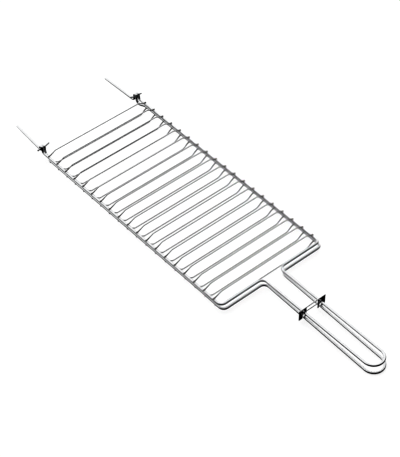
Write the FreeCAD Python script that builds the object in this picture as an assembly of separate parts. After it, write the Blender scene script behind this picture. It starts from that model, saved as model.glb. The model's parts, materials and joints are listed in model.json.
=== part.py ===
import FreeCAD
import Part
import math
import os
from FreeCAD import Rotation, Vector

# Grill basket: two hinged halves of welded round wire, shut by a plate that slides on the handle.
# Every length is in millimetres and every angle in degrees.
# X runs from the support prongs to the handle's end, Y across the basket and Z up.
# Stations along X are measured from the first upper cross wire, and heights from that wire's ends.
# The finished pieces are moved, so that the origin lies under the middle of the whole basket.

# Wire
FRAME_WIRE = 4.5
CROSS_WIRE = 2.0
PIN_WIRE = 3.0
WELD_SINK = 0.3

# Frames
HALF_WIDTH = 111.6
UPPER_BAR_X = 467.9
UPPER_LOOP_X = 726.0
LOWER_BAR_X = 472.8
LOWER_LOOP_X = 728.0
UPPER_Z = -3.0
FRAME_SPACING = 4.9
HANDLE_HALF_GAP = 18.7
CORNER_RADIUS = 9.0
NECK_RADIUS = 11.0
SPLAY_X = 420.0
SPLAY_RADIUS = 60.0
UPPER_SPLAY = -0.3

# Grids
WIRE_COUNT = 19
WIRE_PITCH = 25.0
LOWER_SHIFT = 2.0
LOWER_DRIFT = 2.4
UPPER_RISE = 6.65
LOWER_DROP = 8.5
WIRE_OVERHANG = 2.0
WIRE_SEAT = 3.0
RAMP_RUN = 12.0
RAMP_RADIUS = 6.0

# Hinge
HINGE_X = -22.0
HINGE_Z = 4.5
EYE_CLEARANCE = 0.08
EYE_FLARE = 5.0
EYE_WRAP = 255.0
SADDLE_FLARE = 8.0
SADDLE_STEP = 4.9
JOG_ANGLE = 25.0
JOG_RADIUS = 8.0
PIN_INNER = 103.5
PIN_OUTER = 115.5
PIN_TAIL = 10.0
PIN_TAIL_ANGLE = 21.0
PIN_PEG = 4.5
PIN_PEG_ANGLE = 14.0
PIN_BEND_RADIUS = 4.0

# Prongs
PRONG_LENGTH = 74.0
PRONG_RISE = 1.7
PRONG_INWARD = 2.8
PRONG_BEND_RADIUS = 30.0

# Clasp
CLASP_X = 567.0
CLASP_SHEET = 1.0
CLASP_HALF_WIDTH = 29.5
CLASP_ABOVE = 9.5
CLASP_UNDER_WIRE = 0.7
CLASP_HOLE_CLEARANCE = 0.3
CLASP_SLOT_CLEARANCE = 0.45
CLASP_SLOT_TOP = 4.75
CLASP_STRIP = 2.2
CLASP_CORNER = 1.2
WINDOW_HALF_WIDTH = 13.0
WINDOW_HEIGHT = 7.3

X, Y, Z = Vector(1, 0, 0), Vector(0, 1, 0), Vector(0, 0, 1)
FRAME_R = FRAME_WIRE / 2
CROSS_R = CROSS_WIRE / 2
PIN_R = PIN_WIRE / 2
EYE_R = PIN_R + EYE_CLEARANCE + FRAME_R
LOWER_Z = UPPER_Z - FRAME_SPACING
WELD_SPACING = FRAME_R + CROSS_R - WELD_SINK
UPPER_GRID_Z = UPPER_Z + WELD_SPACING + UPPER_RISE
LOWER_GRID_Z = LOWER_Z - WELD_SPACING - LOWER_DROP
FLOOR_Z = LOWER_GRID_Z - CROSS_R
# The lower handle dips until the end of its loop stands on the same floor as the lower grid.
LOWER_SPLAY = math.degrees(math.atan((LOWER_Z - FLOOR_Z - FRAME_R) / (LOWER_LOOP_X - SPLAY_X)))


def tan(angle):
    return math.tan(math.radians(angle))


def sin(angle):
    return math.sin(math.radians(angle))


def cos(angle):
    return math.cos(math.radians(angle))


class Rod:
    """A round wire, formed by straight feeds and bends, as on a bending machine."""

    def __init__(self, start, heading):
        self.at = start
        self.heading = heading
        self.edges = []

    def feed(self, length):
        end = self.at + self.heading * length
        self.edges.append(Part.LineSegment(self.at, end).toShape())
        self.at = end

    def bend(self, radius, angle, axis):
        centre = self.at + axis.cross(self.heading) * math.copysign(radius, angle)
        spoke = self.at - centre
        middle = centre + Rotation(axis, angle / 2).multVec(spoke)
        end = centre + Rotation(axis, angle).multVec(spoke)
        self.edges.append(Part.Arc(self.at, middle, end).toShape())
        self.at = end
        self.heading = Rotation(axis, angle).multVec(self.heading)


def sweep(edges, end, heading, diameter):
    """The solid wire of this diameter along the edges, which end here with this heading."""
    path = Part.Wire(Part.__sortEdges__(edges))
    profile = Part.Wire(Part.makeCircle(diameter / 2, end, heading))
    return path.makePipeShell([profile], True, True)


def mirrored(shape):
    return shape.mirror(Vector(0, 0, 0), Y)


def both_sides(rod, diameter):
    """The wire of a rod that starts on the middle plane, and of its mirror image."""
    edges = rod.edges + [mirrored(edge) for edge in rod.edges]
    return sweep(edges, rod.at, rod.heading, diameter)


def handle_and_side(loop_x, bar_x, frame_z, splay):
    """Half a frame, from the loop's end to the first hinge bend: handle, neck, bar and side."""
    normal = Vector(sin(splay), 0, cos(splay))
    loop_z = frame_z - (loop_x - SPLAY_X) * tan(splay)
    bar_distance = (loop_x - bar_x) / cos(splay)
    splay_distance = (loop_x - SPLAY_X) / cos(splay)
    splay_tangent = SPLAY_RADIUS * tan(abs(splay) / 2)
    rod = Rod(Vector(loop_x, 0, loop_z), Y)
    rod.bend(HANDLE_HALF_GAP, 90, normal)
    rod.feed(bar_distance - HANDLE_HALF_GAP - NECK_RADIUS)
    rod.bend(NECK_RADIUS, -90, normal)
    rod.feed(HALF_WIDTH - HANDLE_HALF_GAP - NECK_RADIUS - CORNER_RADIUS)
    rod.bend(CORNER_RADIUS, 90, normal)
    rod.feed(splay_distance - bar_distance - CORNER_RADIUS - splay_tangent)
    rod.bend(SPLAY_RADIUS, -splay, Y)
    return rod


def upper_frame():
    """The upper rod ends in a closed eye round the hinge pin on each side."""
    rod = handle_and_side(UPPER_LOOP_X, UPPER_BAR_X, UPPER_Z, UPPER_SPLAY)
    rod.feed(rod.at.x - (HINGE_X + EYE_R + EYE_FLARE))
    rod.bend(EYE_FLARE, 90, Y)
    rod.feed(HINGE_Z - rod.at.z)
    rod.bend(EYE_R, -EYE_WRAP, Y)
    return both_sides(rod, FRAME_WIRE)


def lower_frame():
    """The lower rod steps inwards, loops over the hinge pin and runs on as a prong on each side."""
    rod = handle_and_side(LOWER_LOOP_X, LOWER_BAR_X, LOWER_Z, LOWER_SPLAY)
    # Height of the flare's centre below the pin gives where the two arcs of the saddle meet.
    drop = HINGE_Z - LOWER_Z - SADDLE_FLARE
    reach = EYE_R + SADDLE_FLARE
    overlap = math.degrees(math.asin(drop / reach))
    jog_bends = 2 * JOG_RADIUS * (1 - cos(JOG_ANGLE))
    jog_run = (SADDLE_STEP - jog_bends) / sin(JOG_ANGLE)
    jog_length = 2 * JOG_RADIUS * sin(JOG_ANGLE) + jog_run * cos(JOG_ANGLE)
    rod.feed(rod.at.x - (HINGE_X + reach * cos(overlap) + jog_length))
    rod.bend(JOG_RADIUS, JOG_ANGLE, Z)
    rod.feed(jog_run)
    rod.bend(JOG_RADIUS, -JOG_ANGLE, Z)
    rod.bend(SADDLE_FLARE, 90 + overlap, Y)
    rod.bend(EYE_R, -(180 + 2 * overlap), Y)
    rod.bend(SADDLE_FLARE, 90 + overlap + PRONG_RISE, Y)
    rod.bend(PRONG_BEND_RADIUS, PRONG_INWARD, Z)
    rod.feed(PRONG_LENGTH)
    return both_sides(rod, FRAME_WIRE), rod.at.x


def cross_wire(station, end_z, grid_z):
    """A cross wire: flat where it is welded to the frame, and offset to the grid's height between."""
    offset = grid_z - end_z
    angle = math.degrees(math.atan2(offset, RAMP_RUN))
    tangent = RAMP_RADIUS * tan(abs(angle) / 2)
    ramp = math.hypot(offset, RAMP_RUN)
    grid_half = HALF_WIDTH - WIRE_SEAT - RAMP_RUN
    rod = Rod(Vector(station, -HALF_WIDTH - WIRE_OVERHANG, end_z), Y)
    rod.feed(WIRE_OVERHANG + WIRE_SEAT - tangent)
    rod.bend(RAMP_RADIUS, angle, X)
    rod.feed(ramp - 2 * tangent)
    rod.bend(RAMP_RADIUS, -angle, X)
    rod.feed(2 * (grid_half - tangent))
    rod.bend(RAMP_RADIUS, -angle, X)
    rod.feed(ramp - 2 * tangent)
    rod.bend(RAMP_RADIUS, angle, X)
    rod.feed(WIRE_OVERHANG + WIRE_SEAT - tangent)
    return sweep(rod.edges, rod.at, rod.heading, CROSS_WIRE)


def frame_height(station, frame_z, splay):
    """Height of a frame's side at a station: level, then splayed towards the handle."""
    return frame_z - max(0, station - SPLAY_X) * tan(splay)


def upper_wire(index):
    station = index * WIRE_PITCH
    end_z = frame_height(station, UPPER_Z, UPPER_SPLAY) + WELD_SPACING
    return cross_wire(station, end_z, UPPER_GRID_Z)


def lower_wire(index):
    """The lower wires stand a little nearer the handle, and drift back and forth along the basket."""
    drift = LOWER_DRIFT * math.cos(2 * math.pi * index / (WIRE_COUNT - 1))
    station = index * WIRE_PITCH + LOWER_SHIFT + drift
    end_z = frame_height(station, LOWER_Z, LOWER_SPLAY) - WELD_SPACING
    return cross_wire(station, end_z, LOWER_GRID_Z)


def hinge_pin():
    """A straight pin through both eyes, with its inner tail bent up and its outer peg bent down."""
    tail_tangent = PIN_BEND_RADIUS * tan(PIN_TAIL_ANGLE / 2)
    peg_tangent = PIN_BEND_RADIUS * tan(PIN_PEG_ANGLE / 2)
    heading = Vector(0, cos(PIN_TAIL_ANGLE), -sin(PIN_TAIL_ANGLE))
    rod = Rod(Vector(HINGE_X, PIN_INNER, HINGE_Z) - heading * PIN_TAIL, heading)
    rod.feed(PIN_TAIL - tail_tangent)
    rod.bend(PIN_BEND_RADIUS, PIN_TAIL_ANGLE, X)
    rod.feed(PIN_OUTER - PIN_INNER - tail_tangent - peg_tangent)
    rod.bend(PIN_BEND_RADIUS, -PIN_PEG_ANGLE, X)
    rod.feed(PIN_PEG)
    return sweep(rod.edges, rod.at, rod.heading, PIN_WIRE)


def plate(y0, y1, z0, z1):
    """A rectangle of the clasp's sheet, standing across the handle."""
    corner = Vector(CLASP_X - CLASP_SHEET / 2, y0, z0)
    return Part.makeBox(CLASP_SHEET, y1 - y0, z1 - z0, corner)


def plate_hole(radius, y, z):
    """A cutter through the clasp's sheet."""
    return Part.makeCylinder(radius, 3 * CLASP_SHEET, Vector(CLASP_X - 1.5 * CLASP_SHEET, y, z), X)


def rounded(sheet):
    """The sheet with its four corners rounded."""
    corners = [edge for edge in sheet.Edges if abs(edge.Length - CLASP_SHEET) < 1e-6]
    return sheet.makeFillet(CLASP_CORNER, corners)


def handle_clasp():
    """A stamped plate: closed holes on the upper handle, open slots over the lower, and a window."""
    hole_z = frame_height(CLASP_X, UPPER_Z, UPPER_SPLAY)
    lower_z = frame_height(CLASP_X, LOWER_Z, LOWER_SPLAY)
    top = hole_z + CLASP_ABOVE
    bottom = lower_z - FRAME_R - CLASP_UNDER_WIRE
    window_top = top - CLASP_STRIP
    window_bottom = window_top - WINDOW_HEIGHT
    notch_top = window_bottom - CLASP_STRIP
    slot_r = FRAME_R + CLASP_SLOT_CLEARANCE
    slot_z = hole_z - CLASP_SLOT_TOP - slot_r
    body = rounded(plate(-CLASP_HALF_WIDTH, CLASP_HALF_WIDTH, bottom, top))
    body = body.cut(rounded(plate(-WINDOW_HALF_WIDTH, WINDOW_HALF_WIDTH, window_bottom, window_top)))
    body = body.cut(rounded(plate(-WINDOW_HALF_WIDTH, WINDOW_HALF_WIDTH, 2 * bottom - notch_top, notch_top)))
    for y in (-HANDLE_HALF_GAP, HANDLE_HALF_GAP):
        body = body.cut(plate_hole(FRAME_R + CLASP_HOLE_CLEARANCE, y, hole_z))
        body = body.cut(plate_hole(slot_r, y, slot_z))
        body = body.cut(plate(y - slot_r, y + slot_r, 2 * bottom - slot_z, slot_z))
    return body.removeSplitter()


def write(name, shape, move):
    solid = shape.Solids[0] if shape.Solids else Part.Solid(shape.Shells[0])
    if solid.Volume < 0:
        solid.reverse()
    solid.translate(move)
    solid.exportStep("parts/" + name + ".step")
    box = solid.BoundBox
    print("%-18s valid %s  %8.1f mm3  x %7.1f..%6.1f  y %6.1f..%6.1f  z %5.1f..%5.1f" % (
        name, solid.isValid(), solid.Volume, box.XMin, box.XMax, box.YMin, box.YMax, box.ZMin, box.ZMax))


def main():
    os.makedirs("parts", exist_ok=True)
    lower, prong_tip_x = lower_frame()
    handle_end_x = LOWER_LOOP_X + FRAME_R
    move = Vector(-(prong_tip_x + handle_end_x) / 2, 0, -FLOOR_Z)
    write("lower_frame", lower, move)
    write("upper_frame", upper_frame(), move)
    for index in range(WIRE_COUNT):
        write("lower_wire_%02d" % (index + 1), lower_wire(index), move)
        write("upper_wire_%02d" % (index + 1), upper_wire(index), move)
    pin = hinge_pin()
    write("hinge_pin_left", mirrored(pin), move)
    write("hinge_pin_right", pin, move)
    write("handle_clasp", handle_clasp(), move)
    print("hinge axis at x %.3f z %.3f" % (HINGE_X + move.x, HINGE_Z + move.z))
    print("clasp at x %.3f, upper loop end x %.3f, lower loop z %.3f" % (
        CLASP_X + move.x, UPPER_LOOP_X + move.x,
        frame_height(LOWER_LOOP_X, LOWER_Z, LOWER_SPLAY) - FRAME_R + move.z))
    print("move", move)


main()
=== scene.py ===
import json
import math

import bmesh
import bpy
from mathutils import Matrix, Vector
from mathutils import noise


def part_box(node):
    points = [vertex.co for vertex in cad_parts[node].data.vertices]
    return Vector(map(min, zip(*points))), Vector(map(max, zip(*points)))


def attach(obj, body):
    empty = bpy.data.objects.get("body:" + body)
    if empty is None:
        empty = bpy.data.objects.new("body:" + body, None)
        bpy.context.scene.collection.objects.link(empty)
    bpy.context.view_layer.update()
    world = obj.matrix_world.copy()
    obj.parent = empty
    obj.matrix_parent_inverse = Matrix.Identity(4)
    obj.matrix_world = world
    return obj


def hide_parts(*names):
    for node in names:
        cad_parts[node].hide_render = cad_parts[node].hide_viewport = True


# Grill basket: two hinged halves of chromed round wire, shut by a plate that slides on the handle.
# Lengths are in metres and angles in degrees. X runs from the prongs to the handle's end, Y across
# the basket and Z up.
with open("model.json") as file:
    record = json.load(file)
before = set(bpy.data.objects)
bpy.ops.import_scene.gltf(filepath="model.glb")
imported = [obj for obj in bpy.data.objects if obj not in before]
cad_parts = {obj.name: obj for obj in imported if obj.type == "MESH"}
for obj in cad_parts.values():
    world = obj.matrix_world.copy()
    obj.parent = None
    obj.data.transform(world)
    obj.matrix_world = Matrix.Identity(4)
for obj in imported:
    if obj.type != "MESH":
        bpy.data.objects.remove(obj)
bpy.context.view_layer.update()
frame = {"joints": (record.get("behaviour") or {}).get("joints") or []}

MM = 0.001
X, Y, Z = Vector((1, 0, 0)), Vector((0, 1, 0)), Vector((0, 0, 1))

# Wire
FRAME_R = 2.25 * MM
CROSS_R = 1 * MM
PIN_R = 1.5 * MM

# Frames, as bent
UPPER_HANDLE = 258.1 * MM
LOWER_HANDLE = 255.2 * MM
HANDLE_HALF_GAP = 18.7 * MM
CORNER_RADIUS = 9 * MM
NECK_RADIUS = 11 * MM
SPLAY_RADIUS = 60 * MM
SPLAY_FROM_HINGE = 442 * MM
UPPER_SPLAY = -0.3
WELD_SPACING = 2.95 * MM

# Cross wires
WIRE_COUNT = 19
WIRE_SEAT = 3 * MM
WIRE_OVERHANG = 2 * MM
RAMP_RUN = 12 * MM
RAMP_RADIUS = 6 * MM

# Hinge and prongs
EYE_R = PIN_R + 0.08 * MM + FRAME_R
EYE_FLARE = 5 * MM
EYE_WRAP = 255
SADDLE_FLARE = 8 * MM
SADDLE_STEP = 4.9 * MM
JOG_ANGLE = 25
JOG_RADIUS = 8 * MM
PIN_INNER = 103.5 * MM
PIN_OUTER = 115.5 * MM
PIN_TAIL = 10 * MM
PIN_TAIL_ANGLE = 21
PIN_PEG = 4.5 * MM
PIN_PEG_ANGLE = 14
PIN_BEND_RADIUS = 4 * MM
PRONG_LENGTH = 74 * MM
PRONG_RISE = 1.7
PRONG_INWARD = 2.8
PRONG_BEND_RADIUS = 30 * MM

# Clasp
SHEET = 1 * MM
CLASP_HOLE_R = FRAME_R + 0.3 * MM
CLASP_SLOT_R = FRAME_R + 0.45 * MM
CLASP_ABOVE = 9.5 * MM
CLASP_SLOT_TOP = 4.75 * MM
CLASP_STRIP = 2.2 * MM
CLASP_CORNER = 1.2 * MM
WINDOW_HALF_WIDTH = 13 * MM
WINDOW_HEIGHT = 7.3 * MM
SHEET_BEVEL = 0.2 * MM
SHARP = 0.4 * MM

# Weld nuggets, as half sizes along X, Y and Z
NUGGET = (1.75 * MM, 1.9 * MM, 0.85 * MM)
NUGGET_RINGS = 8
NUGGET_SIDES = 12
NUGGET_UNEVENNESS = 0.18
NUGGET_LUMPS = 1.3
NUGGET_SEED_SPREAD = 400

# Fineness of the meshes
RING_SIDES = 20
BEND_STEP = 6
CORNER_STEPS = 6
SHARP_STEPS = 3
SLOT_STEPS = 24
HOLE_SIDES = 24
BEVEL_STEPS = 2
SHARP_EDGE_ANGLE = 30
MERGE_DISTANCE = 1e-7

# A cut end's profile: (depth in chamfers, radius in wire radii) from the end's face inwards
END_CHAMFER = 0.35
END_PROFILE = ((0, 0.55), (0, 1 - END_CHAMFER), (0.35, 0.93), (1, 1))

# The two halves and the bodies that they ride on
HALVES = (("lower", "lower_half"), ("upper", "lid"))


def tan(angle):
    return math.tan(math.radians(angle))


def sin(angle):
    return math.sin(math.radians(angle))


def cos(angle):
    return math.cos(math.radians(angle))


class Rod:
    """A round wire, formed by straight feeds and bends. Each ring is (centre, heading, side)."""

    def __init__(self, start, heading, side):
        self.at, self.heading, self.side = start, heading, side
        self.rings = [(start, heading, side)]

    def feed(self, length):
        self.at = self.at + self.heading * length
        self.rings.append((self.at, self.heading, self.side))

    def bend(self, radius, angle, axis):
        steps = max(2, math.ceil(abs(angle) / BEND_STEP))
        turn = Matrix.Rotation(math.radians(angle / steps), 3, axis)
        centre = self.at + axis.cross(self.heading) * math.copysign(radius, angle)
        for _ in range(steps):
            self.at = centre + turn @ (self.at - centre)
            self.heading = turn @ self.heading
            self.side = turn @ self.side
            self.rings.append((self.at, self.heading, self.side))


def mirrored(vector):
    return Vector((vector.x, -vector.y, vector.z))


def mirrored_rings(rings):
    """The rings of the mirror image, in reverse order."""
    return [(mirrored(at), -mirrored(heading), mirrored(side)) for at, heading, side in rings[::-1]]


def with_cut_ends(rings, radius):
    """(centre, heading, side, radius) rings whose two ends are cut square, with the edge broken."""
    chamfer = END_CHAMFER * radius
    cut = []
    (first, first_heading, first_side), (last, last_heading, last_side) = rings[0], rings[-1]
    for depth, size in END_PROFILE:
        cut.append((first + first_heading * chamfer * depth, first_heading, first_side, radius * size))
    cut += [(at, heading, side, radius) for at, heading, side in rings[1:-1]]
    for depth, size in END_PROFILE[::-1]:
        cut.append((last - last_heading * chamfer * depth, last_heading, last_side, radius * size))
    return cut


def wire(name, rings, radius):
    """A closed mesh tube, with each point's place on the straight wire and distance from its ends."""
    sides = RING_SIDES
    cut = with_cut_ends(rings, radius)
    verts, coords, lengths = [], [], []
    travelled = 0
    for index, (at, heading, side, size) in enumerate(cut):
        if index:
            travelled += (at - cut[index - 1][0]).length
        across = heading.cross(side)
        for k in range(sides):
            angle = 2 * math.pi * k / sides
            verts.append(at + (side * math.cos(angle) + across * math.sin(angle)) * size)
            coords += [size * math.cos(angle), size * math.sin(angle), travelled]
        lengths += [travelled] * sides
    faces = [tuple(range(sides))[::-1]]
    for ring in range(len(cut) - 1):
        for k in range(sides):
            a, b = ring * sides + k, ring * sides + (k + 1) % sides
            faces.append((a, b, b + sides, a + sides))
    faces.append(tuple(range((len(cut) - 1) * sides, len(cut) * sides)))
    made = piece(name, verts, faces, coords)
    from_end = [min(length, travelled - length) for length in lengths]
    made.data.attributes.new("from_end", "FLOAT", "POINT").data.foreach_set("value", from_end)
    return made


def piece(name, verts, faces, coords):
    mesh = bpy.data.meshes.new(name)
    mesh.from_pydata(verts, [], faces)
    return placed(name, mesh, coords)


def placed(name, mesh, coords):
    """The mesh as a smooth object, with the coordinates that its material's noise is laid out in."""
    mesh.attributes.new("wire_coords", "FLOAT_VECTOR", "POINT").data.foreach_set("vector", coords)
    mesh.shade_smooth()
    mesh.update()
    made = bpy.data.objects.new(name, mesh)
    bpy.context.scene.collection.objects.link(made)
    return made


def fit(made, body, slot, material, *nodes):
    """Gives a piece its body and its material, and hides the nodes that it stands for. The slot is not
    used.
    """
    made.data.materials.append(material)
    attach(made, body)
    if nodes:
        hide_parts(*nodes)


# ---------------------------------------------------------------- frames

hinge = Vector(next(j["pos_m"] for j in frame["joints"] if j["name"] == "lid_hinge"))
splay_x = hinge.x + SPLAY_FROM_HINGE


def handle_and_side(node, handle, frame_z, splay):
    """Half a frame, from the loop's end to the first hinge bend: handle, neck, bar and side."""
    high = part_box(node)[1]
    loop_x = high.x - FRAME_R
    half_width = high.y - FRAME_R
    normal = Vector((sin(splay), 0, cos(splay)))
    loop_z = frame_z - (loop_x - splay_x) * tan(splay)
    bar_distance = handle / cos(splay)
    splay_distance = (loop_x - splay_x) / cos(splay)
    splay_tangent = SPLAY_RADIUS * tan(abs(splay) / 2)
    rod = Rod(Vector((loop_x, 0, loop_z)), Y.copy(), normal)
    rod.bend(HANDLE_HALF_GAP, 90, normal)
    rod.feed(bar_distance - HANDLE_HALF_GAP - NECK_RADIUS)
    rod.bend(NECK_RADIUS, -90, normal)
    rod.feed(half_width - HANDLE_HALF_GAP - NECK_RADIUS - CORNER_RADIUS)
    rod.bend(CORNER_RADIUS, 90, normal)
    rod.feed(splay_distance - bar_distance - CORNER_RADIUS - splay_tangent)
    rod.bend(SPLAY_RADIUS, -splay, Y)
    return rod


def upper_frame():
    """The upper rod ends in a closed eye round the hinge pin on each side."""
    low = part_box("upper_wire_01")[0]
    frame_z = low.z + CROSS_R - WELD_SPACING
    rod = handle_and_side("upper_frame", UPPER_HANDLE, frame_z, UPPER_SPLAY)
    rod.feed(rod.at.x - (hinge.x + EYE_R + EYE_FLARE))
    rod.bend(EYE_FLARE, 90, Y)
    rod.feed(hinge.z - rod.at.z)
    rod.bend(EYE_R, -EYE_WRAP, Y)
    return rod


def lower_frame():
    """The lower rod steps inwards, loops over the hinge pin and runs on as a prong on each side."""
    frame_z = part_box("lower_wire_01")[1].z - CROSS_R + WELD_SPACING
    loop_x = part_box("lower_frame")[1].x - FRAME_R
    splay = math.degrees(math.atan((frame_z - FRAME_R) / (loop_x - splay_x)))
    rod = handle_and_side("lower_frame", LOWER_HANDLE, frame_z, splay)
    drop = hinge.z - frame_z - SADDLE_FLARE
    reach = EYE_R + SADDLE_FLARE
    overlap = math.degrees(math.asin(drop / reach))
    jog_bends = 2 * JOG_RADIUS * (1 - cos(JOG_ANGLE))
    jog_run = (SADDLE_STEP - jog_bends) / sin(JOG_ANGLE)
    jog_length = 2 * JOG_RADIUS * sin(JOG_ANGLE) + jog_run * cos(JOG_ANGLE)
    rod.feed(rod.at.x - (hinge.x + reach * cos(overlap) + jog_length))
    rod.bend(JOG_RADIUS, JOG_ANGLE, Z)
    rod.feed(jog_run)
    rod.bend(JOG_RADIUS, -JOG_ANGLE, Z)
    rod.bend(SADDLE_FLARE, 90 + overlap, Y)
    rod.bend(EYE_R, -(180 + 2 * overlap), Y)
    rod.bend(SADDLE_FLARE, 90 + overlap + PRONG_RISE, Y)
    rod.bend(PRONG_BEND_RADIUS, PRONG_INWARD, Z)
    rod.feed(PRONG_LENGTH)
    return rod


def both_sides(rod):
    return mirrored_rings(rod.rings) + rod.rings[1:]


# ---------------------------------------------------------------- cross wires and hinge pins

def cross_wire(node, up):
    """A cross wire inside its node's box: flat where it is welded, and offset between."""
    low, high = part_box(node)
    station = (low.x + high.x) / 2
    end_z, grid_z = (low.z + CROSS_R, high.z - CROSS_R) if up else (high.z - CROSS_R, low.z + CROSS_R)
    offset = grid_z - end_z
    angle = math.degrees(math.atan2(offset, RAMP_RUN))
    tangent = RAMP_RADIUS * tan(abs(angle) / 2)
    slope = math.hypot(offset, RAMP_RUN)
    seat = WIRE_OVERHANG + WIRE_SEAT
    grid_half = high.y - seat - RAMP_RUN
    rod = Rod(Vector((station, low.y, end_z)), Y.copy(), Z.copy())
    rod.feed(seat - tangent)
    rod.bend(RAMP_RADIUS, angle, X)
    rod.feed(slope - 2 * tangent)
    rod.bend(RAMP_RADIUS, -angle, X)
    rod.feed(2 * (grid_half - tangent))
    rod.bend(RAMP_RADIUS, -angle, X)
    rod.feed(slope - 2 * tangent)
    rod.bend(RAMP_RADIUS, angle, X)
    rod.feed(seat - tangent)
    return rod.rings


def hinge_pin():
    """A straight pin through both eyes, with its inner tail bent up and its outer peg bent down."""
    tail_tangent = PIN_BEND_RADIUS * tan(PIN_TAIL_ANGLE / 2)
    peg_tangent = PIN_BEND_RADIUS * tan(PIN_PEG_ANGLE / 2)
    heading = Vector((0, cos(PIN_TAIL_ANGLE), -sin(PIN_TAIL_ANGLE)))
    rod = Rod(Vector((hinge.x, PIN_INNER, hinge.z)) - heading * PIN_TAIL, heading, X.copy())
    rod.feed(PIN_TAIL - tail_tangent)
    rod.bend(PIN_BEND_RADIUS, PIN_TAIL_ANGLE, X)
    rod.feed(PIN_OUTER - PIN_INNER - tail_tangent - peg_tangent)
    rod.bend(PIN_BEND_RADIUS, -PIN_PEG_ANGLE, X)
    rod.feed(PIN_PEG)
    return rod.rings


def welds(name, node_prefix, side, up):
    """The little nuggets squeezed out where the cross wires are welded to one side of a frame."""
    verts, faces, coords = [], [], []
    rings, sides = NUGGET_RINGS, NUGGET_SIDES
    half_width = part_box("upper_frame")[1].y - FRAME_R
    for index in range(WIRE_COUNT):
        low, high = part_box(node_prefix + "_%02d" % (index + 1))
        wire_z = low.z + CROSS_R if up else high.z - CROSS_R
        toward_frame = -1 if up else 1
        contact = Vector(((low.x + high.x) / 2, side * half_width, wire_z + toward_frame * CROSS_R))
        start = len(verts)
        for ring in range(rings + 1):
            polar = math.pi * ring / rings
            for k in range(sides):
                angle = 2 * math.pi * k / sides
                way = Vector((math.sin(polar) * math.cos(angle), math.sin(polar) * math.sin(angle),
                              math.cos(polar)))
                seed = way * NUGGET_LUMPS + contact * NUGGET_SEED_SPREAD
                lump = 1 + NUGGET_UNEVENNESS * noise.noise(seed)
                spot = contact + Vector([w * half for w, half in zip(way, NUGGET)]) * lump
                verts.append(spot)
                coords += list(spot)
        for ring in range(rings):
            for k in range(sides):
                a, b = start + ring * sides + k, start + ring * sides + (k + 1) % sides
                faces.append((a, a + sides, b + sides, b))
    made = piece(name, verts, faces, coords)
    merged = bmesh.new()
    merged.from_mesh(made.data)
    bmesh.ops.remove_doubles(merged, verts=merged.verts, dist=MERGE_DISTANCE)
    merged.to_mesh(made.data)
    merged.free()
    return made


# ---------------------------------------------------------------- clasp

def arc(centre, radius, start, turn, steps):
    """Points of an arc in the plate's (y, z) plane."""
    angles = [start + turn * i / steps for i in range(steps + 1)]
    return [(centre[0] + radius * cos(angle), centre[1] + radius * sin(angle)) for angle in angles]


def clasp_outline(top, bottom, half_width, notch_top, slot_z):
    """The plate's right half, from the middle of the notch between its lobes round to its top."""
    r = CLASP_CORNER
    inner = WINDOW_HALF_WIDTH
    points = [(0, notch_top)]
    points += arc((inner - r, notch_top - r), r, 90, -90, CORNER_STEPS)
    sharp_z = bottom + SHARP
    points += arc((inner + SHARP, sharp_z), SHARP, 180, 90, SHARP_STEPS)
    points += arc((HANDLE_HALF_GAP - CLASP_SLOT_R - SHARP, sharp_z), SHARP, 270, 90, SHARP_STEPS)
    points += arc((HANDLE_HALF_GAP, slot_z), CLASP_SLOT_R, 180, -180, SLOT_STEPS)
    points += arc((HANDLE_HALF_GAP + CLASP_SLOT_R + SHARP, sharp_z), SHARP, 180, 90, SHARP_STEPS)
    points += arc((half_width - r, bottom + r), r, 270, 90, CORNER_STEPS)
    points += arc((half_width - r, top - r), r, 0, 90, CORNER_STEPS)
    return points


def clasp_loops(top, bottom, half_width):
    """The plate's outline, with open slots below, then its window and its two closed holes."""
    hole_z = top - CLASP_ABOVE
    slot_z = hole_z - CLASP_SLOT_TOP - CLASP_SLOT_R
    window_top = top - CLASP_STRIP
    window_bottom = window_top - WINDOW_HEIGHT
    right = clasp_outline(top, bottom, half_width, window_bottom - CLASP_STRIP, slot_z)
    r = CLASP_CORNER
    window = []
    for side, end, start in ((1, window_bottom, 270), (1, window_top, 0), (-1, window_top, 90),
                             (-1, window_bottom, 180)):
        inward = r if end == window_bottom else -r
        window += arc((side * (WINDOW_HALF_WIDTH - r), end + inward), r, start, 90, CORNER_STEPS)
    loops = [right + [(-y, z) for y, z in right[:0:-1]], window]
    for side in (-1, 1):
        loops.append(arc((side * HANDLE_HALF_GAP, hole_z), CLASP_HOLE_R, 0, 360 - 360 / HOLE_SIDES,
                         HOLE_SIDES - 1))
    return loops


def stamped(loops):
    """A sheet cut out along the loops, with rounded edges. It lies in its mesh's XY plane."""
    curve = bpy.data.curves.new("clasp_blank", "CURVE")
    curve.dimensions = "2D"
    curve.fill_mode = "BOTH"
    for loop in loops:
        spline = curve.splines.new("POLY")
        spline.points.add(len(loop) - 1)
        spline.points.foreach_set("co", [c for y, z in loop for c in (y, z, 0, 1)])
        spline.use_cyclic_u = True
    curve.extrude = SHEET / 2 - SHEET_BEVEL
    curve.bevel_depth = SHEET_BEVEL
    curve.bevel_resolution = BEVEL_STEPS
    curve.offset = -SHEET_BEVEL
    blank = bpy.data.objects.new("clasp_blank", curve)
    mesh = bpy.data.meshes.new_from_object(blank)
    bpy.data.objects.remove(blank)
    return mesh


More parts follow.
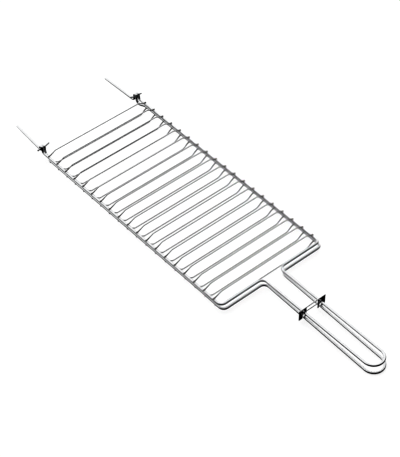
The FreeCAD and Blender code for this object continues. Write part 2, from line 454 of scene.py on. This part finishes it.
def handle_clasp():
    """A stamped plate with closed holes, open slots and a window between two narrow strips."""
    low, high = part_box("handle_clasp")
    plate_x = low.x + SHEET / 2
    mesh = stamped(clasp_loops(high.z, low.z, high.y))
    plate = bmesh.new()
    plate.from_mesh(mesh)
    bmesh.ops.remove_doubles(plate, verts=plate.verts, dist=MERGE_DISTANCE)
    for vert in plate.verts:
        y, z, x = vert.co
        vert.co = (plate_x + x, y, z)
    bmesh.ops.recalc_face_normals(plate, faces=plate.faces)
    coords = [c for vert in plate.verts for c in vert.co]
    plate.to_mesh(mesh)
    plate.free()
    mesh.name = "clasp_plate"
    made = placed("clasp_plate", mesh, coords)
    mesh.set_sharp_from_angle(angle=math.radians(SHARP_EDGE_ANGLE))
    return made


# ---------------------------------------------------------------- materials

# Plating
NOISE_DETAIL = 4
CLOUD_SCALE = 90
CLOUD_DARK, CLOUD_LIGHT = 0.3, 0.62
NOISE_LOW, NOISE_HIGH = 0.3, 0.7
ROD_STREAK = (2600, 2600, 60)
SHEET_STREAK = (900, 150, 900)
WELD_GRAIN = (1500, 1500, 1500)
LINE_DEPTH = 0.02 * MM
# Painted shade: the cross wires are near black at their ends, where they lie on the frame, fading out
# along their ramps.
END_SHADE_START = 6 * MM
END_SHADE_END = 15 * MM
END_SHADE_COLOUR = (0.09, 0.085, 0.08, 1)


def noise_node(nodes, links, vector, scale):
    made = nodes.new("ShaderNodeTexNoise")
    made.inputs["Scale"].default_value = scale
    made.inputs["Detail"].default_value = NOISE_DETAIL
    links.new(vector, made.inputs["Vector"])
    return made.outputs["Fac"]


def mapped(nodes, links, vector, scale):
    made = nodes.new("ShaderNodeMapping")
    made.inputs["Scale"].default_value = scale
    links.new(vector, made.inputs["Vector"])
    return made.outputs["Vector"]


def ramp(nodes, links, value, stops):
    """A colour ramp through the (position, colour) stops."""
    made = nodes.new("ShaderNodeValToRGB")
    for element, (position, colour) in zip(made.color_ramp.elements, (stops[0], stops[-1])):
        element.position = position
        element.color = colour + (1,)
    for position, colour in stops[1:-1]:
        made.color_ramp.elements.new(position).color = colour + (1,)
    links.new(value, made.inputs["Fac"])
    return made.outputs["Color"]


def ranged(nodes, links, value, low, high):
    """Noise, spread from low to high."""
    made = nodes.new("ShaderNodeMapRange")
    made.inputs["From Min"].default_value = NOISE_LOW
    made.inputs["From Max"].default_value = NOISE_HIGH
    made.inputs["To Min"].default_value = low
    made.inputs["To Max"].default_value = high
    links.new(value, made.inputs["Value"])
    return made.outputs["Result"]


def painted_end_shade(nodes, links, colour):
    """The colour with painted shade: near black near the two ends of the wire, where it lies on the
    frame.
    """
    end = nodes.new("ShaderNodeAttribute")
    end.attribute_name = "from_end"
    fade = nodes.new("ShaderNodeMapRange")
    fade.interpolation_type = "SMOOTHSTEP"
    fade.inputs["From Min"].default_value = END_SHADE_START
    fade.inputs["From Max"].default_value = END_SHADE_END
    links.new(end.outputs["Fac"], fade.inputs["Value"])
    blend = nodes.new("ShaderNodeMix")
    blend.data_type = "RGBA"
    links.new(fade.outputs["Result"], blend.inputs["Factor"])
    blend.inputs["A"].default_value = END_SHADE_COLOUR
    links.new(colour, blend.inputs["B"])
    return blend.outputs["Result"]


def metal(name, dark, light, smooth, rough, streak, bump, end_shade=False):
    """Plated steel: plating clouded from dark to light, draw lines along the wire, uneven gloss.

    smooth and rough are the limits of the roughness, streak is the scale of the lines along each
    axis, and bump is their strength.
    """
    material = bpy.data.materials.new(name)
    material.use_nodes = True
    nodes, links = material.node_tree.nodes, material.node_tree.links
    shader = nodes["Principled BSDF"]
    shader.inputs["Metallic"].default_value = 1.0
    attribute = nodes.new("ShaderNodeAttribute")
    attribute.attribute_name = "wire_coords"
    coords = attribute.outputs["Vector"]
    clouds = noise_node(nodes, links, coords, CLOUD_SCALE)
    colour = ramp(nodes, links, clouds, [(CLOUD_DARK, dark), (CLOUD_LIGHT, light)])
    # Painted shade at the wire's ends.
    if end_shade:
        colour = painted_end_shade(nodes, links, colour)
    links.new(colour, shader.inputs["Base Color"])
    lines = noise_node(nodes, links, mapped(nodes, links, coords, streak), 1)
    links.new(ranged(nodes, links, lines, smooth, rough), shader.inputs["Roughness"])
    height = nodes.new("ShaderNodeBump")
    height.inputs["Strength"].default_value = bump
    height.inputs["Distance"].default_value = LINE_DEPTH
    links.new(lines, height.inputs["Height"])
    links.new(height.outputs["Normal"], shader.inputs["Normal"])
    return material


frame_chrome = metal("frame_chrome", (0.86, 0.865, 0.875), (0.93, 0.935, 0.94), 0.05, 0.13,
                     ROD_STREAK, 0.25)
# The cross wires carry painted shade at their ends.
wire_chrome = metal("wire_chrome", (0.80, 0.805, 0.81), (0.90, 0.905, 0.91), 0.08, 0.18,
                    ROD_STREAK, 0.3, end_shade=True)
pin_chrome = metal("pin_chrome", (0.66, 0.67, 0.68), (0.80, 0.81, 0.82), 0.12, 0.24,
                   ROD_STREAK, 0.35)
sheet_chrome = metal("sheet_chrome", (0.82, 0.825, 0.83), (0.92, 0.925, 0.93), 0.2, 0.4,
                     SHEET_STREAK, 0.4)
weld_metal = metal("weld_metal", (0.12, 0.115, 0.11), (0.34, 0.335, 0.33), 0.28, 0.45,
                   WELD_GRAIN, 0.9)

# ---------------------------------------------------------------- the basket

fit(wire("lower_rod", both_sides(lower_frame()), FRAME_R), "lower_half", "frame_rod", frame_chrome,
    "lower_frame")
fit(wire("upper_rod", both_sides(upper_frame()), FRAME_R), "lid", "frame_rod", frame_chrome,
    "upper_frame")
for number in range(1, WIRE_COUNT + 1):
    for half, body in HALVES:
        node = "%s_wire_%02d" % (half, number)
        made = wire("%s_cross_wire_%02d" % (half, number), cross_wire(node, half == "upper"), CROSS_R)
        fit(made, body, "grid_wire", wire_chrome, node)
for half, body in HALVES:
    for side, side_name in ((-1, "left"), (1, "right")):
        made = welds("%s_welds_%s" % (half, side_name), half + "_wire", side, half == "upper")
        fit(made, body, "frame_rod", weld_metal)
pin_rings = hinge_pin()
fit(wire("pin_right", pin_rings, PIN_R), "lower_half", "hinge_wire", pin_chrome, "hinge_pin_right")
fit(wire("pin_left", mirrored_rings(pin_rings), PIN_R), "lower_half", "hinge_wire", pin_chrome,
    "hinge_pin_left")
fit(handle_clasp(), "clasp", "clasp_sheet", sheet_chrome, "handle_clasp")

# ---------------------------------------------------------------- floor, light and camera

FLOOR_SIZE = 12
FLOOR_Z = -0.2 * MM
FLOOR_GREY = (0.3, 0.3, 0.3, 1)
FLOOR_GLOW = 0.82
WHITE = (1, 1, 1, 1)
# The chrome reflects white from the side of the studio that lies away from STUDIO_DARK, and black
# from the side towards it. The stops are (place between the two sides, brightness).
STUDIO_DARK = Vector((0.8, -0.26, -0.54)).normalized()
STUDIO_STOPS = ((0.0, 1.05), (0.22, 0.95), (0.375, 0.82), (0.42, 0.0), (1.0, 0.0))
KEY_SIZE = 3.0
KEY_ENERGY = 20
KEY_PLACE = Vector((-0.6, -0.4, 2.4))
AZIMUTH, ELEVATION, DISTANCE = 49.218, 45.867, 2.7306
TARGET = Vector((0.002555, -0.02405, 0.02023))
LENS = 125.4
VIEW_GAMMA = 0.65

floor_mesh = bpy.data.meshes.new("studio_floor")
corners = [(-1, -1), (1, -1), (1, 1), (-1, 1)]
floor_mesh.from_pydata([(x * FLOOR_SIZE / 2, y * FLOOR_SIZE / 2, FLOOR_Z) for x, y in corners], [],
                       [(0, 1, 2, 3)])
floor = bpy.data.objects.new("studio_floor", floor_mesh)
bpy.context.scene.collection.objects.link(floor)
paper = bpy.data.materials.new("white_paper")
paper.use_nodes = True
paper_shader = paper.node_tree.nodes["Principled BSDF"]
paper_shader.inputs["Base Color"].default_value = FLOOR_GREY
paper_shader.inputs["Emission Color"].default_value = WHITE
paper_shader.inputs["Emission Strength"].default_value = FLOOR_GLOW
paper_shader.inputs["Roughness"].default_value = 0.9
paper_shader.inputs["Specular IOR Level"].default_value = 0.0
floor_mesh.materials.append(paper)
floor.visible_glossy = False

world = bpy.data.worlds.new("studio")
bpy.context.scene.world = world
world.use_nodes = True
nodes, links = world.node_tree.nodes, world.node_tree.links
way = nodes.new("ShaderNodeTexCoord").outputs["Generated"]
dot = nodes.new("ShaderNodeVectorMath")
dot.operation = "DOT_PRODUCT"
dot.inputs[1].default_value = STUDIO_DARK
links.new(way, dot.inputs[0])
span = nodes.new("ShaderNodeMapRange")
span.inputs["From Min"].default_value = -1
span.inputs["From Max"].default_value = 1
links.new(dot.outputs["Value"], span.inputs["Value"])
studio = ramp(nodes, links, span.outputs["Result"],
              [(position, (grey, grey, grey)) for position, grey in STUDIO_STOPS])
# The camera itself sees plain white behind the floor.
light_path = nodes.new("ShaderNodeLightPath")
seen = nodes.new("ShaderNodeMix")
seen.data_type = "RGBA"
links.new(light_path.outputs["Is Camera Ray"], seen.inputs["Factor"])
links.new(studio, seen.inputs["A"])
seen.inputs["B"].default_value = WHITE
links.new(seen.outputs["Result"], nodes["Background"].inputs["Color"])
nodes["Background"].inputs["Strength"].default_value = 1.0

key_data = bpy.data.lights.new("key", "AREA")
key_data.shape = "RECTANGLE"
key_data.size = KEY_SIZE
key_data.size_y = KEY_SIZE
key_data.energy = KEY_ENERGY
key = bpy.data.objects.new("key", key_data)
key.location = KEY_PLACE
key.rotation_mode = "QUATERNION"
key.rotation_quaternion = (-KEY_PLACE).to_track_quat("-Z", "Y")
bpy.context.scene.collection.objects.link(key)
key.visible_glossy = False

back = Vector((sin(AZIMUTH) * cos(ELEVATION), -cos(AZIMUTH) * cos(ELEVATION), sin(ELEVATION)))
camera_data = bpy.data.cameras.new("camera")
camera_data.lens = LENS
camera_data.sensor_width = 36
camera_data.clip_start = 0.1
camera_data.clip_end = 50
camera = bpy.data.objects.new("camera", camera_data)
camera.location = TARGET + back * DISTANCE
camera.rotation_mode = "QUATERNION"
camera.rotation_quaternion = (-back).to_track_quat("-Z", "Y")
bpy.context.scene.collection.objects.link(camera)
bpy.context.scene.camera = camera
bpy.context.scene.view_settings.view_transform = "Standard"
bpy.context.scene.view_settings.gamma = VIEW_GAMMA
